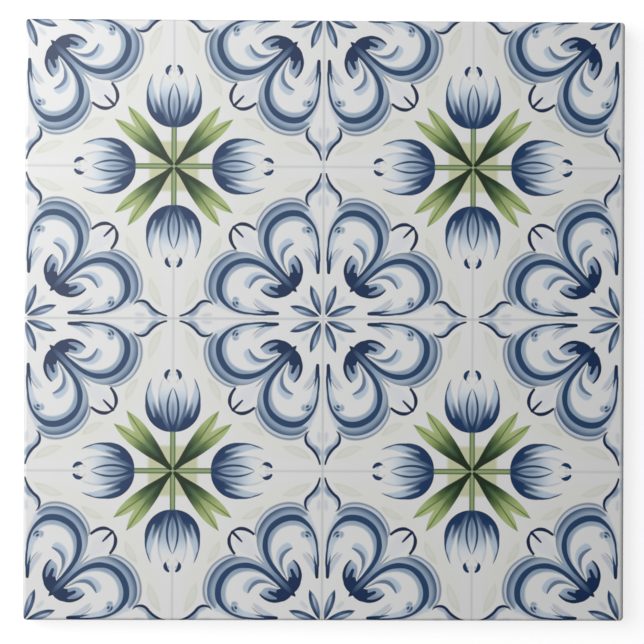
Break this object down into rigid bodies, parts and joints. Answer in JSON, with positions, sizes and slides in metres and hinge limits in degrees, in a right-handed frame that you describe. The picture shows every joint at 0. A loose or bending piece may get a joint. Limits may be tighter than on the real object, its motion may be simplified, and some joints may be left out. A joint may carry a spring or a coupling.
{
  "type": "delft tile",
  "caption": "Square pressed ceramic wall tile with a softly rounded glazed face, painted with blue tulips and scrolls, and a keyed back for adhesive.",
  "frame": {"origin": "middle of the keyed back, on the plane of its ribs", "axes": "+Z out of the glazed face, +X and +Y along the tile's edges"},
  "size_m": [0.152, 0.152, 0.0065],
  "materials": {
    "glazed_face": "satin gloss glaze with blue and green underglaze decoration, over a bare cream biscuit back"
  },
  "bodies": {
    "root": {"tile": "glazed_face"}
  },
  "joints": []
}
